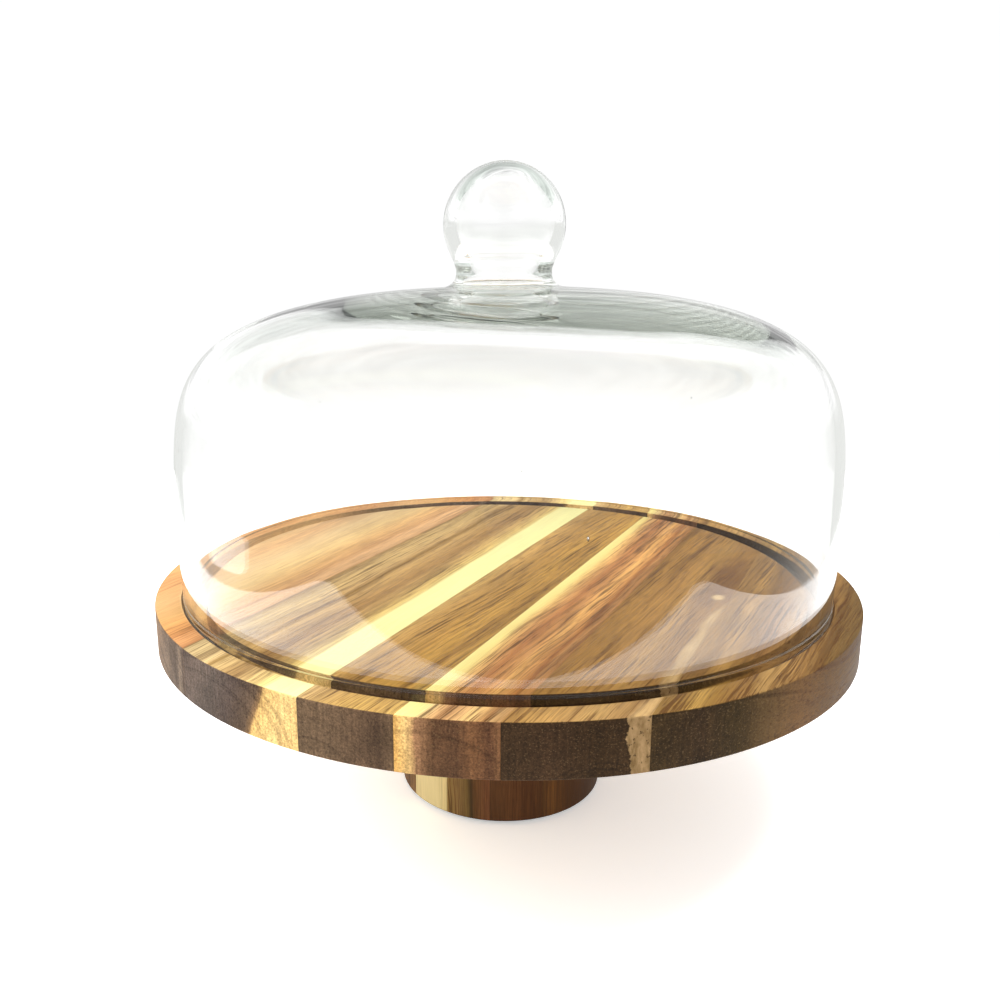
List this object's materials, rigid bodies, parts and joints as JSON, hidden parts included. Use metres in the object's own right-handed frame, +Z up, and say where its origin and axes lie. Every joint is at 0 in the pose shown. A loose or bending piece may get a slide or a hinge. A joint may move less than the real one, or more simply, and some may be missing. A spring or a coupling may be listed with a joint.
{
  "type": "lift-off glass display dome on a pedestal stand",
  "caption": "Blown glass dome with a round hollow knob that seats in a groove of a turned wooden board on a short cylindrical pedestal, and lifts off.",
  "frame": {"origin": "centre of the footprint, on the dome's axis, at the underside of the foot pads", "axes": "+Z up along the dome's axis, +Y along the grain of the board's staves, +X across the staves"},
  "size_m": [0.305, 0.305, 0.2799],
  "materials": {
    "dome_glass": "clear polished soda-lime glass with a faint grey-green tint, thicker and yellower at the knob",
    "acacia_board": "oiled satin acacia, brown heartwood with dark streaks and pale yellow sapwood strips, sanded end grain on the edge",
    "acacia_pedestal": "oiled satin acacia, upright grain, red-brown and olive-brown with one pale sapwood block",
    "zinc_steel": "zinc-plated, slightly dulled",
    "insert_brass": "plain turned brass",
    "dowel_beech": "unfinished beech",
    "pad_rubber": "matt black self-adhesive rubber"
  },
  "bodies": {
    "stand": {"board_stave_1": "acacia_board", "board_stave_2": "acacia_board", "board_stave_3": "acacia_board", "board_stave_4": "acacia_board", "board_stave_5": "acacia_board", "board_stave_6": "acacia_board", "pedestal_block_1": "acacia_pedestal", "pedestal_block_2": "acacia_pedestal", "pedestal_block_3": "acacia_pedestal", "pedestal_block_4": "acacia_pedestal", "pedestal_block_5": "acacia_pedestal", "pedestal_bolt": "zinc_steel", "bolt_washer": "zinc_steel", "threaded_insert": "insert_brass", "dowel_pin_rear": "dowel_beech", "dowel_pin_front": "dowel_beech", "foot_pad_1": "pad_rubber", "foot_pad_2": "pad_rubber", "foot_pad_3": "pad_rubber", "foot_pad_4": "pad_rubber"},
    "dome": {"dome_shell": "dome_glass", "dome_knob": "dome_glass"}
  },
  "joints": [
    {"name": "dome_lift", "type": "slide", "parent": "stand", "child": "dome", "axis": [0, 0, 1], "range_m": [0, 0.16]}
  ]
}
